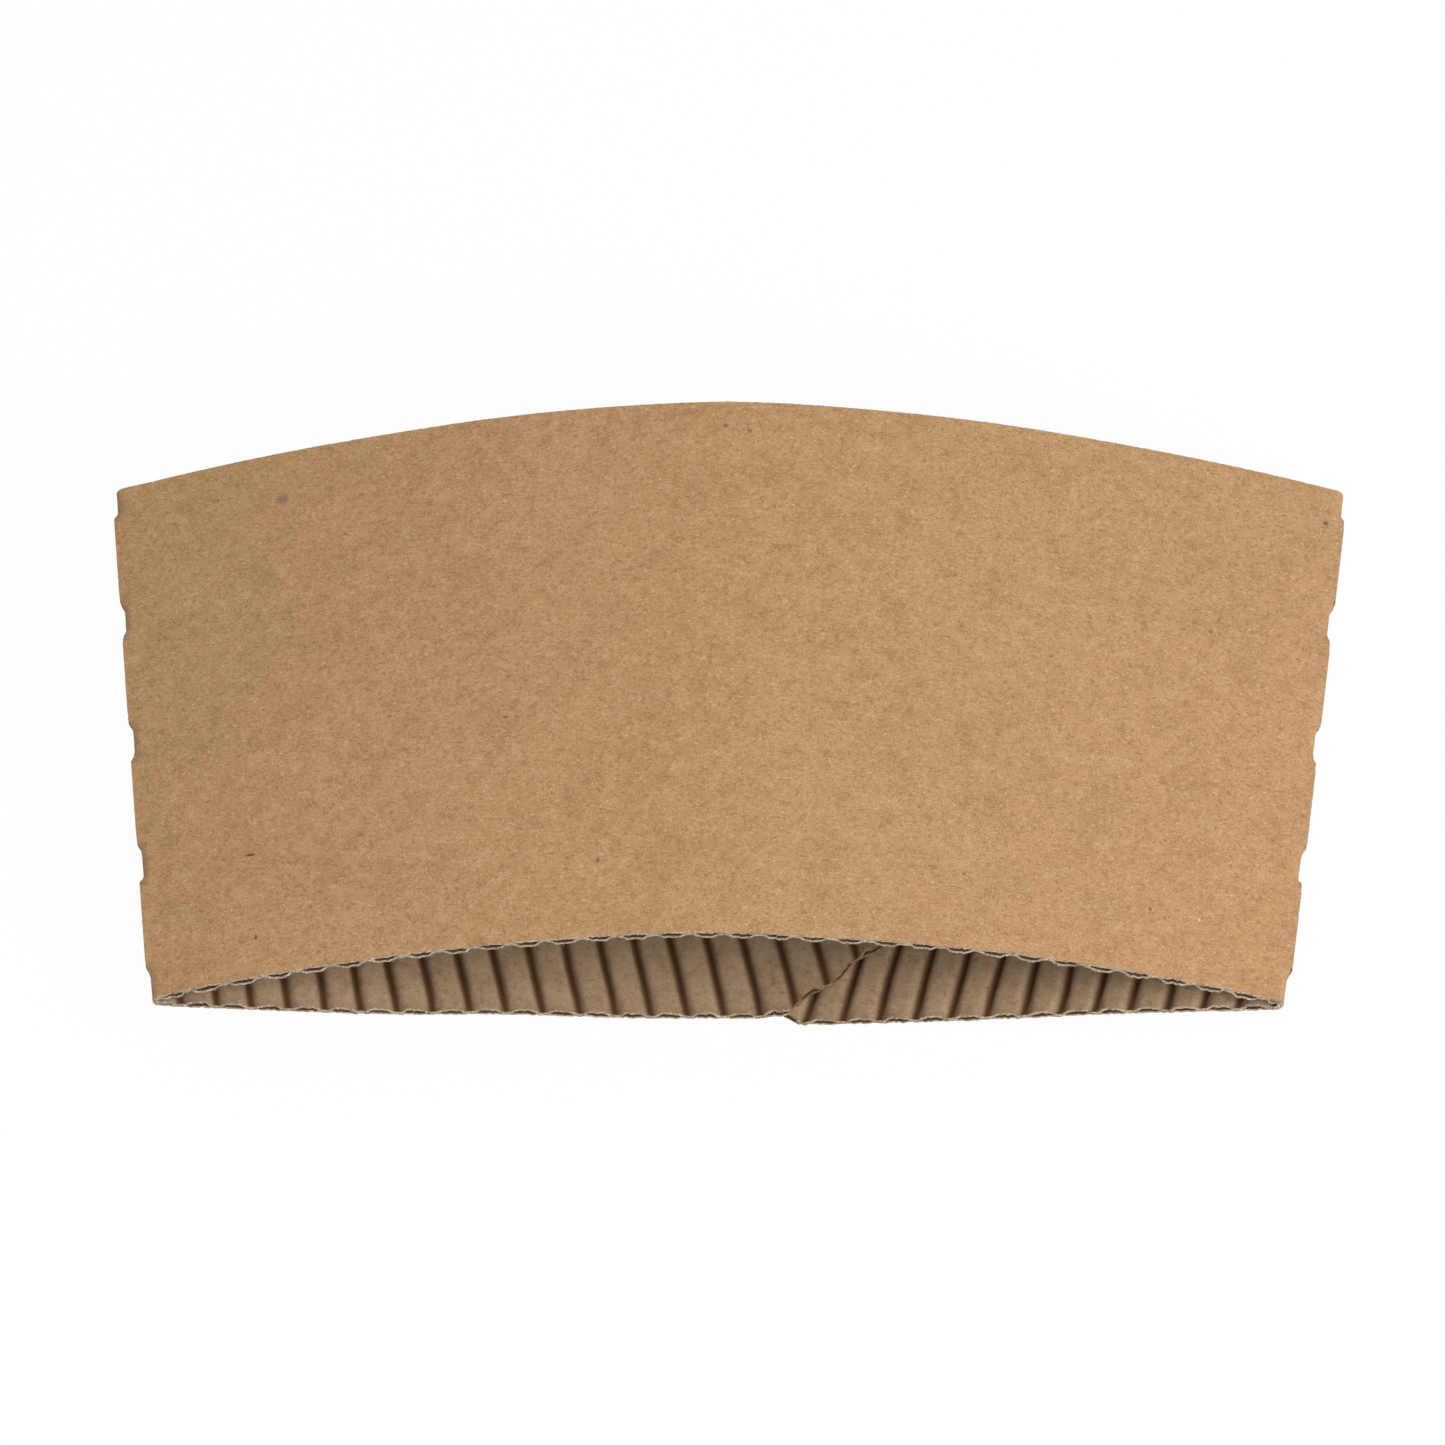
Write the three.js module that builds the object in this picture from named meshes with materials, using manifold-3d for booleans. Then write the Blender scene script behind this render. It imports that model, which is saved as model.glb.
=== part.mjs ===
// A coffee cup sleeve: one die-cut blank of single-face corrugated kraft board, folded at two
// perforated creases and glued into a ring. It lies on its back panel, sprung a little open.
// Millimetres. +X runs across the sleeve, +Y from the small end to the large end, +Z up.
// The origin is on the surface that it lies on, under the middle of the sleeve.

import * as THREE from 'three';
import { mergeVertices } from 'three/addons/utils/BufferGeometryUtils.js';
import Module from 'manifold-3d';

const wasm = await Module();
wasm.setup();

const { lerp, smoothstep } = THREE.MathUtils;

// The sleeve pressed flat: its height along the slant, its width from fold to fold at the small
// end, and how much wider it is at the large end
const sleeveHeight = 60;
const smallEndWidth = 111;
const flare = 13.5;

// The board: a smooth liner outside, and a fluted medium glued to it inside. A flute's crown is
// flattened, and the flutes lie a little to one side of the front panel's middle.
const linerThickness = 0.25;
const mediumThickness = 0.2;
const fluteHeight = 0.7;
const flutePitch = 3.48;
const crownFlatness = 1.1;
const fluteOffset = -0.9;

// The folded form: how high the folds and the front panel's middle stand at each end
const foldHeightSmallEnd = 8.3;
const foldHeightLargeEnd = 9.3;
const frontHeightSmallEnd = 15.9;
const frontHeightLargeEnd = 20.2;

// The curve of each panel across its width: 2 is a parabola, and less is nearer to a ridge
const frontCurveSmallEnd = 1.75;
const frontCurveLargeEnd = 1.6;
const backCurve = 1.45;
const restingHalfWidth = 6.6;

// The folds: long slits with short bridges between them, where the flutes are crushed. The cut
// edges of a slit stand out past the noses of its bridges.
const slitsPerFold = 4;
const bridgeLength = 2.8;
const bridgeDepth = 0.6;
const bridgeBite = 0.2;
const slitStandsOut = 0.5;
const slitGap = 0.1;
const creaseWidth = 3.5;
const crushedFluteHeight = 0.1;

// The glued seam on the back panel: two tongues with sloping corners, one over the other
const seamOffset = 7;
const seamGap = 1.4;
const tongueReach = 10.5;
const tongueSlopeHeight = 9;
const glueBite = 0.08;
const rampLength = 21;
const rampLead = 13.5;

// Facets: how finely a flute is drawn across its arch and along its length
const archSegments = 5;
const rowsAlongFlute = 2;
const noseSegments = 6;

// How far a cutting outline reaches past the board, and how far apart two points of the outer
// face are taken to find which way it faces there
const cutMargin = 3;
const probeStep = 0.01;

const kraftBrown = 0xb98f64;

// The blank is part of a flat ring. panelAngle is how much of the ring each panel takes.
const panelAngle = flare / sleeveHeight;
const foldAngle = panelAngle / 2;
const smallEndRadius = smallEndWidth / panelAngle;
const largeEndRadius = smallEndRadius + sleeveHeight;
const middleRadius = (smallEndRadius * Math.cos(foldAngle) + largeEndRadius) / 2;
const largeEndBulge = largeEndRadius * (1 - Math.cos(foldAngle));
const flatThickness = linerThickness + mediumThickness;
const boardThickness = flatThickness + fluteHeight;
const creaseHalf = flatThickness + crushedFluteHeight + slitGap / 2;
const bridgeRoot = bridgeDepth + slitStandsOut;
const slitLength = (sleeveHeight - (slitsPerFold + 1) * bridgeLength) / slitsPerFold;
const rampEnd = tongueReach - seamOffset + rampLead;
const rampStart = rampEnd + rampLength;

const alongHeight = (radius) => (radius - smallEndRadius) / sleeveHeight;
const panelWidth = (along) => smallEndWidth + flare * along;
const foldHeight = (along) => lerp(foldHeightSmallEnd, foldHeightLargeEnd, along);
const frontHeight = (along) => lerp(frontHeightSmallEnd, frontHeightLargeEnd, along);

// Each panel turns the blank's own angle, measured from the front panel's middle, into an angle
// from that panel's middle. The plies of the back panel are named by the fold that they come from.
const panels = {
  front: { angleOf: (blankAngle) => blankAngle, inward: -1 },
  backRight: { angleOf: (blankAngle) => panelAngle - blankAngle, inward: 1 },
  backLeft: { angleOf: (blankAngle) => -panelAngle - blankAngle, inward: 1 },
};

// A bowed panel is narrower than a flat one, by two thirds of the square of its slope
function bowedShare(along) {
  const rise = frontHeight(along) / 2 - creaseHalf;
  const slope = rise / (panelWidth(along) / 2);
  return 1 - (2 / 3) * slope ** 2;
}

function frontOuterHeight(side, along) {
  const edge = foldHeight(along) + creaseHalf;
  const curve = lerp(frontCurveSmallEnd, frontCurveLargeEnd, along);
  return frontHeight(along) - (frontHeight(along) - edge) * Math.abs(side) ** curve;
}

function backOuterHeight(side, along) {
  const flat = restingHalfWidth / (panelWidth(along) / 2);
  const bend = Math.max(0, (Math.abs(side) - flat) / (1 - flat));
  return (foldHeight(along) - creaseHalf) * bend ** backCurve;
}

// The left ply lies on the right one at the seam, so it climbs by one board on the way there
function tongueLift(radius, angle) {
  const climbed = smoothstep(radius * angle, -rampStart, -rampEnd);
  return (boardThickness - glueBite) * climbed;
}

function outerPoint(panel, radius, angle) {
  const along = alongHeight(radius);
  const side = angle / foldAngle;
  let height = panel === panels.front ? frontOuterHeight(side, along) : backOuterHeight(side, along);
  if (panel === panels.backLeft) height += tongueLift(radius, angle);
  const across = radius * Math.sin(angle) * bowedShare(along);
  return new THREE.Vector3(across, radius * Math.cos(angle) - middleRadius, height);
}

// A point at a depth inside the board, measured square to its outer face
function boardPoint(panel, radius, angle, depth) {
  const point = outerPoint(panel, radius, angle);
  const across = outerPoint(panel, radius, angle + probeStep / radius).sub(point);
  const along = outerPoint(panel, radius + probeStep, angle).sub(point);
  const normal = across.cross(along).normalize();
  return point.addScaledVector(normal, panel.inward * depth);
}

// How much of a flute's height is left this far from the fold: it is crushed at the crease
function fluteShare(radius, angle) {
  const fromFold = Math.max(0, radius * (foldAngle - Math.abs(angle)));
  return lerp(crushedFluteHeight / fluteHeight, 1, smoothstep(fromFold, 0, creaseWidth));
}

// Half a turn over a flute: points on its arch, as shares of its half width and of its height
const archPoints = Array.from({ length: archSegments + 1 }, (_, k) => {
  const turn = (k / archSegments) * Math.PI;
  return { across: Math.cos(turn), rise: Math.min(1, crownFlatness * Math.sin(turn)) };
});
const fluteCentre = (flute) => fluteOffset + flute * flutePitch;

// The board's section: the liner's outer face, the arches of the medium, and a channel under each.
// base is the depth that doesn't change at a crease, and rise the part that is crushed there.
function boardSection(firstFlute, lastFlute) {
  const outline = [];
  const channels = [];
  const halfPitch = flutePitch / 2;
  for (let flute = firstFlute; flute <= lastFlute + 1; flute += 1) {
    outline.push({ across: fluteCentre(flute) - halfPitch, base: 0, rise: 0 });
  }
  for (let flute = lastFlute; flute >= firstFlute; flute -= 1) {
    const arch = archLoop(fluteCentre(flute), halfPitch, flatThickness);
    outline.push(...(flute === firstFlute ? arch : arch.slice(0, -1)));
    channels.push(archLoop(fluteCentre(flute), halfPitch - mediumThickness, linerThickness));
  }
  return { outline, channels };
}

function archLoop(centre, halfWidth, base) {
  return archPoints.map((point) => ({
    across: centre + halfWidth * point.across,
    base,
    rise: fluteHeight * point.rise,
  }));
}

// The section swept along its flutes, from the small end's arc to the large end's, and bent
// onto the panel
function boardGeometry(panel, firstFlute, lastFlute) {
  const { outline, channels } = boardSection(firstFlute, lastFlute);
  const flat = (loop) => loop.map((p) => new THREE.Vector2(p.across, p.base + p.rise));
  const capFaces = THREE.ShapeUtils.triangulateShape(flat(outline), channels.map(flat));
  const loops = [outline, ...channels];
  const points = loops.flat();
  const positions = [];
  for (let row = 0; row <= rowsAlongFlute; row += 1) {
    for (const point of points) {
      const small = Math.sqrt(smallEndRadius ** 2 - point.across ** 2);
      const large = Math.sqrt(largeEndRadius ** 2 - point.across ** 2);
      const up = lerp(small, large, row / rowsAlongFlute);
      const radius = Math.hypot(point.across, up);
      const angle = panel.angleOf(Math.atan2(point.across, up));
      const depth = point.base + point.rise * fluteShare(radius, angle);
      positions.push(...boardPoint(panel, radius, angle, depth).toArray());
    }
  }
  const faces = [];
  const lastRow = rowsAlongFlute * points.length;
  for (const [a, b, c] of capFaces) {
    faces.push(a, c, b, lastRow + a, lastRow + b, lastRow + c);
  }
  let start = 0;
  loops.forEach((loop, which) => {
    const anticlockwise = THREE.ShapeUtils.isClockWise(flat(loop)) === (which > 0);
    for (let k = 0; k < loop.length; k += 1) {
      const here = start + (anticlockwise ? k : (k + 1) % loop.length);
      const next = start + (anticlockwise ? (k + 1) % loop.length : k);
      for (let row = 0; row < rowsAlongFlute; row += 1) {
        const below = row * points.length;
        const above = below + points.length;
        faces.push(below + here, below + next, above + next);
        faces.push(below + here, above + next, above + here);
      }
    }
    start += loop.length;
  });
  const geometry = new THREE.BufferGeometry();
  geometry.setAttribute('position', new THREE.Float32BufferAttribute(positions, 3));
  geometry.setIndex(faces);
  return geometry;
}

function toSolid(geometry) {
  const bare = geometry.clone();
  bare.deleteAttribute('normal');
  bare.deleteAttribute('uv');
  const merged = mergeVertices(bare);
  return new wasm.Manifold(new wasm.Mesh({
    numProp: 3,
    vertProperties: Float32Array.from(merged.getAttribute('position').array),
    triVerts: Uint32Array.from(merged.getIndex().array),
  }));
}

function toGeometry(solid) {
  const mesh = solid.getMesh();
  const geometry = new THREE.BufferGeometry();
  geometry.setAttribute('position', new THREE.BufferAttribute(mesh.vertProperties, mesh.numProp));
  geometry.setIndex(new THREE.BufferAttribute(mesh.triVerts, 1));
  return geometry;
}

// A place on the flat outline of a panel, seen from above
function planPoint(radius, angle) {
  const across = radius * Math.sin(angle) * bowedShare(alongHeight(radius));
  return new THREE.Vector2(across, radius * Math.cos(angle) - middleRadius);
}

const bridges = Array.from({ length: slitsPerFold + 1 }, (_, k) => {
  const start = smallEndRadius + k * (bridgeLength + slitLength);
  return { start, end: start + bridgeLength };
});

// The edge of a panel at a fold, from below the small end to above the large end. It runs along
// the fold line at the slits and steps back to the roots of the bridges.
function foldEdge(sideSign) {
  return bridges.flatMap(({ start, end }, k) => {
    const isFirst = k === 0;
    const isLast = k === slitsPerFold;
    const from = isFirst ? start - cutMargin : start;
    const to = isLast ? end + largeEndBulge + cutMargin : end;
    const root = [from, to].map((radius) => bridgeRootPoint(radius, sideSign));
    const before = isFirst ? [] : [planPoint(from, sideSign * foldAngle)];
    const after = isLast ? [] : [planPoint(to, sideSign * foldAngle)];
    return [...before, ...root, ...after];
  });
}

function bridgeRootPoint(radius, sideSign) {
  return planPoint(radius, sideSign * (foldAngle - bridgeRoot / radius));
}

// The edge of a tongue at the seam: it slopes out from both ends of the sleeve to its full reach
function tongueEdge(reachSign) {
  const root = (seamOffset - (reachSign * seamGap) / 2) / smallEndRadius;
  const reach = (reachSign * tongueReach) / smallEndRadius;
  const slopeAngle = (fromEnd) => root + (reach * fromEnd) / tongueSlopeHeight;
  const pastLargeEnd = largeEndBulge + cutMargin;
  return [
    planPoint(smallEndRadius - cutMargin, slopeAngle(-cutMargin)),
    planPoint(smallEndRadius + tongueSlopeHeight, root + reach),
    planPoint(largeEndRadius - tongueSlopeHeight, root + reach),
    planPoint(largeEndRadius + pastLargeEnd, slopeAngle(-pastLargeEnd)),
  ];
}

// Everything inside a panel's outline, as a tall block
function outlineBlock(leftEdge, rightEdge) {
  const shape = new THREE.Shape([...rightEdge, ...leftEdge.toReversed()]);
  const depth = Math.max(frontHeightSmallEnd, frontHeightLargeEnd) + 2 * cutMargin;
  const geometry = new THREE.ExtrudeGeometry(shape, { depth, bevelEnabled: false });
  geometry.translate(0, 0, -cutMargin);
  return toSolid(geometry);
}

// The board of one panel, over a little more of the blank than the panel takes
function boardSolid(panel, fromBlankAngle, toBlankAngle) {
  const fluteAt = (blankAngle, radius) => (radius * Math.sin(blankAngle) - fluteOffset) / flutePitch;
  const radii = [smallEndRadius, largeEndRadius];
  const first = Math.floor(Math.min(...radii.map((radius) => fluteAt(fromBlankAngle, radius))));
  const last = Math.ceil(Math.max(...radii.map((radius) => fluteAt(toBlankAngle, radius))));
  return toSolid(boardGeometry(panel, first, last));
}

function frontPanel() {
  const board = boardSolid(panels.front, -foldAngle, foldAngle);
  return board.intersect(outlineBlock(foldEdge(-1), foldEdge(1)));
}

function backRightPly() {
  const pastMiddle = (tongueReach - seamOffset) / smallEndRadius;
  const board = boardSolid(panels.backRight, foldAngle, panelAngle + pastMiddle);
  return board.intersect(outlineBlock(tongueEdge(-1), foldEdge(1)));
}

function backLeftPly() {
  const pastMiddle = (tongueReach + seamOffset) / smallEndRadius;
  const board = boardSolid(panels.backLeft, -panelAngle - pastMiddle, -foldAngle);
  return board.intersect(outlineBlock(foldEdge(-1), tongueEdge(1)));
}

// A bridge: the crushed board carried round the fold, with a blunt nose. It is drawn in section,
// from its root at the panels outwards, and swept along the fold.
function bridge(sideSign, span) {
  const middle = (span.start + span.end) / 2;
  const side = 1 - bridgeRoot / (middle * foldAngle);
  const along = alongHeight(middle);
  const above = frontOuterHeight(side, along) - foldHeight(along);
  const below = foldHeight(along) - backOuterHeight(side, along);
  const nose = Array.from({ length: noseSegments + 1 }, (_, k) => {
    const turn = (k / noseSegments - 1 / 2) * Math.PI;
    const reach = Math.sin(turn) * (turn > 0 ? above : below);
    const out = (bridgeBite + bridgeDepth) * Math.cos(turn) - bridgeBite;
    return new THREE.Vector2(sideSign * out, reach);
  });
  const root = [above, -below].map((reach) => new THREE.Vector2(-sideSign * bridgeDepth, reach));
  const place = (radius) => {
    const flat = bridgeRootPoint(radius, sideSign);
    return new THREE.Vector3(flat.x, flat.y, foldHeight(alongHeight(radius)));
  };
  const from = place(span.end - slitGap);
  const sweep = place(span.start + slitGap).sub(from);
  const geometry = new THREE.ExtrudeGeometry(new THREE.Shape([...nose, ...root]), {
    depth: sweep.length(),
    bevelEnabled: false,
  });
  sweep.normalize();
  const across = new THREE.Vector3(1, 0, 0).addScaledVector(sweep, -sweep.x).normalize();
  const up = new THREE.Vector3().crossVectors(sweep, across);
  geometry.applyMatrix4(new THREE.Matrix4().makeBasis(across, up, sweep).setPosition(from));
  return toSolid(geometry);
}

function sleeveSolid() {
  let solid = frontPanel().add(backRightPly()).add(backLeftPly());
  for (const sideSign of [-1, 1]) {
    for (const span of bridges) solid = solid.add(bridge(sideSign, span));
  }
  return solid;
}

const kraftBoard = new THREE.MeshStandardMaterial({
  color: kraftBrown,
  roughness: 0.9,
  metalness: 0,
});
const sleeve = new THREE.Mesh(toGeometry(sleeveSolid()), kraftBoard);
sleeve.name = 'cup_sleeve';

const model = new THREE.Group();
model.add(sleeve);

export default model;
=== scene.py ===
import math

import bmesh
import bpy
import numpy as np
from mathutils import Matrix, Vector


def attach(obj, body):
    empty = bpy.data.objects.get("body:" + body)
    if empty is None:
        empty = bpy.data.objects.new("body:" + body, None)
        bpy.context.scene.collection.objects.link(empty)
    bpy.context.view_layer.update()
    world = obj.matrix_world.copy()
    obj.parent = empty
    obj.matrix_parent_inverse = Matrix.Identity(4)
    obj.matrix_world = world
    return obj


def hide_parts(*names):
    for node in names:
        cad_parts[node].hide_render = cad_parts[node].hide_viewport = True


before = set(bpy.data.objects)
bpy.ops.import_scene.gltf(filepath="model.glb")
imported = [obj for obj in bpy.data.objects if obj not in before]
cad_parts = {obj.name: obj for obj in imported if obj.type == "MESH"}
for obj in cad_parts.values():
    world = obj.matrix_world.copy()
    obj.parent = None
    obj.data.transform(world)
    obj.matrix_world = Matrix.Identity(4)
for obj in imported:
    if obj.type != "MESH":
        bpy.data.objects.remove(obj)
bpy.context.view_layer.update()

MM = 0.001


# The single-face board, before it is cut: a smooth kraft liner laid face down, with a fluted
# medium glued on top of it at the valleys. One flute is drawn in section, swept along its length
# and repeated side by side.
FLUTE_PITCH = 3.48 * MM
FLUTE_HEIGHT = 0.7 * MM
LINER_THICKNESS = 0.25 * MM
MEDIUM_THICKNESS = 0.2 * MM
FLUTE_OFFSET = -0.9 * MM
CROWN_FLATNESS = 2.7
CHANNEL_HALF = FLUTE_PITCH / 2 - 0.14 * MM
ARCH_STEPS = 16
ARCH_SPREAD = 0.75
LINER_STEPS = 3
ROW_LENGTH = 2 * MM
END_ROWS = (0.6 * MM, 1.4 * MM, 2.6 * MM)
MIDDLE_ROWS = 22
SPARE_END = 1.5 * MM
FLAT_THICKNESS = LINER_THICKNESS + MEDIUM_THICKNESS
BOARD_THICKNESS = FLAT_THICKNESS + FLUTE_HEIGHT
TINY = 1e-7

# The blank is part of a flat ring, and its angles are measured from the front panel's middle
SLEEVE_HEIGHT = 60 * MM
SMALL_END_WIDTH = 111 * MM
FLARE = 13.5 * MM
PANEL_ANGLE = FLARE / SLEEVE_HEIGHT
FOLD_ANGLE = PANEL_ANGLE / 2
SMALL_RADIUS = SMALL_END_WIDTH / PANEL_ANGLE
LARGE_RADIUS = SMALL_RADIUS + SLEEVE_HEIGHT
SEAM_OFFSET = 7 * MM
SEAM_GAP = 1.4 * MM
TONGUE_REACH = 10.5 * MM
LEFT_TIP = -PANEL_ANGLE - (TONGUE_REACH + SEAM_OFFSET - SEAM_GAP / 2) / SMALL_RADIUS
RIGHT_TIP = PANEL_ANGLE + (TONGUE_REACH - SEAM_OFFSET - SEAM_GAP / 2) / SMALL_RADIUS
FOLD_BAND = 1.8 * MM
FOLD_CUTS = 2
SHORT_EDGE = 0.45 * MM

LINER_FACE, MEDIUM_FACE, CHANNEL_FACE, CUT_FACE, SEAM_FACE = range(5)


def start_piece(name):
    """Names the primitive that was just added, and gives it one empty slot for each finish."""
    piece = bpy.context.object
    piece.name = name
    for _ in range(SEAM_FACE + 1):
        piece.data.materials.append(None)
    return piece


def make_active(piece):
    bpy.ops.object.select_all(action="DESELECT")
    piece.select_set(True)
    bpy.context.view_layer.objects.active = piece


def select_where(kind, test):
    """In edit mode, selects the verts, edges or faces whose points pass the test."""
    bpy.ops.mesh.select_mode(type={"verts": "VERT", "edges": "EDGE", "faces": "FACE"}[kind])
    bpy.ops.mesh.select_all(action="DESELECT")
    mesh = bpy.context.object.data
    shape = bmesh.from_edit_mesh(mesh)
    for item in getattr(shape, kind):
        points = [item.co] if kind == "verts" else [vert.co for vert in item.verts]
        if test(points):
            item.select_set(True)
    bmesh.update_edit_mesh(mesh)


def strip(name, steps, place):
    """A strip of quads. place gives each point from its share across (-1 to 1) and its row."""
    bpy.ops.object.select_all(action="DESELECT")
    bpy.ops.mesh.primitive_grid_add(x_subdivisions=steps, y_subdivisions=1, size=2)
    piece = start_piece(name)
    for vertex in piece.data.vertices:
        vertex.co = place(vertex.co.x, vertex.co.y > 0)
    return piece


def crown_share(across):
    """The wave of the medium: 1 on the flat crown, 0 in the rounded valleys."""
    return 0.5 + 0.5 * np.cos(math.pi * np.minimum(np.abs(across), 1) ** CROWN_FLATNESS)


def arch_point(across, is_outside):
    spread = math.copysign(abs(across) ** ARCH_SPREAD, across)
    half = FLUTE_PITCH / 2 if is_outside else CHANNEL_HALF
    base = FLAT_THICKNESS if is_outside else LINER_THICKNESS
    return Vector((half * spread, 0, base + FLUTE_HEIGHT * crown_share(spread)))


def liner_point(across, is_inside):
    half = CHANNEL_HALF if is_inside else FLUTE_PITCH / 2
    return Vector((half * across, 0, LINER_THICKNESS if is_inside else 0))


def finish_of(points):
    """Which face of the board a face of one flute is."""
    if all(abs(p.y - points[0].y) < TINY for p in points):
        return CUT_FACE
    if all(p.z < TINY for p in points):
        return LINER_FACE
    for p in points:
        top = FLAT_THICKNESS + FLUTE_HEIGHT * crown_share(2 * p.x / FLUTE_PITCH)
        if abs(p.z - top) >= TINY:
            return CHANNEL_FACE
    return MEDIUM_FACE


def row_radii():
    """The rows of points along the flutes, closer together near the two cut ends."""
    middle = np.linspace(SMALL_RADIUS + END_ROWS[-1], LARGE_RADIUS - END_ROWS[-1], MIDDLE_ROWS + 1)
    low = [SMALL_RADIUS - SPARE_END] + [SMALL_RADIUS + row for row in END_ROWS[:-1]]
    high = [LARGE_RADIUS - row for row in END_ROWS[-2::-1]] + [LARGE_RADIUS + SPARE_END]
    return np.concatenate([low, middle, high])


def is_by_fold(points):
    middle = sum(points, Vector()) / len(points)
    length = (points[0] - points[1]).length
    from_fold = math.hypot(middle.x, middle.y) * abs(abs(math.atan2(middle.x, middle.y)) - FOLD_ANGLE)
    return length > SHORT_EDGE and from_fold < FOLD_BAND


def fluted_sheet():
    first = math.floor((LARGE_RADIUS * math.sin(LEFT_TIP) - FLUTE_OFFSET) / FLUTE_PITCH)
    last = math.ceil((LARGE_RADIUS * math.sin(RIGHT_TIP) - FLUTE_OFFSET) / FLUTE_PITCH)
    radii = row_radii()
    rows = len(radii) - 1

    medium = strip("fluted_sheet", ARCH_STEPS, arch_point)
    liner = strip("liner_strip", LINER_STEPS, liner_point)
    medium.select_set(True)
    bpy.context.view_layer.objects.active = medium
    bpy.ops.object.join()
    sheet = medium
    bpy.ops.object.mode_set(mode="EDIT")
    bpy.ops.mesh.select_all(action="SELECT")
    bpy.ops.mesh.remove_doubles(threshold=TINY)
    foot = CHANNEL_HALF - TINY
    for sign in (-1, 1):
        select_where("verts", lambda p: sign * p[0].x > foot and p[0].z < FLAT_THICKNESS + TINY)
        bpy.ops.mesh.edge_face_add()
    bpy.ops.mesh.select_all(action="SELECT")
    bpy.ops.mesh.extrude_region_move(TRANSFORM_OT_translate={"value": (0, rows * ROW_LENGTH, 0)})
    select_where("edges", lambda p: abs(p[0].y - p[1].y) > ROW_LENGTH)
    bpy.ops.mesh.subdivide(number_cuts=rows - 1)
    wall = FLUTE_PITCH / 2 - TINY
    select_where("faces", lambda p: all(q.x > wall for q in p) or all(q.x < -wall for q in p))
    bpy.ops.mesh.delete(type="ONLY_FACE")
    bpy.ops.object.mode_set(mode="OBJECT")
    for face in sheet.data.polygons:
        face.material_index = finish_of([sheet.data.vertices[k].co for k in face.vertices])
    sheet.data.transform(Matrix.Translation((FLUTE_OFFSET + first * FLUTE_PITCH, 0, 0)))

    repeat = sheet.modifiers.new("side by side", "ARRAY")
    repeat.count = last - first + 1
    repeat.use_relative_offset = False
    repeat.use_constant_offset = True
    repeat.constant_offset_displace = (FLUTE_PITCH, 0, 0)
    repeat.use_merge_vertices = True
    repeat.merge_threshold = 1e-6
    bpy.ops.object.modifier_apply(modifier=repeat.name)

    bpy.ops.object.mode_set(mode="EDIT")
    ends = [FLUTE_OFFSET + (end - 0.5) * FLUTE_PITCH for end in (first, last + 1)]
    for end in ends:
        select_where("edges", lambda p: all(abs(q.x - end) < TINY * 10 for q in p))
        bpy.ops.mesh.edge_face_add()
    bpy.ops.mesh.select_all(action="SELECT")
    bpy.ops.mesh.normals_make_consistent(inside=False)
    bpy.ops.object.mode_set(mode="OBJECT")

    # Each row follows an arc of the blank, and the folds get smaller faces
    for vertex in sheet.data.vertices:
        radius = radii[round(vertex.co.y / ROW_LENGTH)]
        vertex.co.y = math.sqrt(radius ** 2 - vertex.co.x ** 2)
    bpy.ops.object.mode_set(mode="EDIT")
    select_where("edges", is_by_fold)
    bpy.ops.mesh.subdivide(number_cuts=FOLD_CUTS)
    bpy.ops.object.mode_set(mode="OBJECT")
    return sheet


board = fluted_sheet()

# The die cut: a steel rule cuts the blank's outline and the slits of the two folds out of the
# sheet. The paper tears a little, so the cut edges are never quite smooth, and the rule leaves
# the medium a very little longer than the liner.
TONGUE_SLOPE_HEIGHT = 9 * MM
SLITS_PER_FOLD = 4
BRIDGE_LENGTH = 2.8 * MM
SLIT_WIDTH = 0.06 * MM
EDGE_STEP = 0.3 * MM
EDGE_ROUGHNESS = 0.04 * MM
NEAT_ROUGHNESS = 0.012 * MM
SEAM_WAVE = 0.28 * MM
SEAM_WAVE_LENGTH = 6.2 * MM
RULE_BEVEL = 0.02
BEVEL_SMOOTHING = 4
DIE_HEIGHT = 4 * MM
SLIT_LENGTH = (SLEEVE_HEIGHT - (SLITS_PER_FOLD + 1) * BRIDGE_LENGTH) / SLITS_PER_FOLD
TIPS = {-1: LEFT_TIP, 1: RIGHT_TIP}
ROOTS = {side: tip - side * TONGUE_REACH / SMALL_RADIUS for side, tip in TIPS.items()}

rough = np.random.default_rng(7)


def polar(radius, angle):
    return np.array([radius * math.sin(angle), radius * math.cos(angle)])


def torn_edge(start, end, place, roughness, wave):
    """Points along one cut edge, from one corner to just before the next, a little ragged."""
    length = np.linalg.norm(end - start)
    count = max(2, round(length / EDGE_STEP))
    shares = np.arange(count) / count
    points = np.array([place(share) for share in shares])
    along = (end - start) / length
    bulge = wave * np.sin(math.pi * shares) ** 0.5 * np.sin(math.tau * shares * length / SEAM_WAVE_LENGTH)
    points = points + bulge[:, None] * np.array([along[1], -along[0]])
    jitter = rough.normal(0, roughness, points.shape)
    jitter[0] = 0
    return points + jitter


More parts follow.
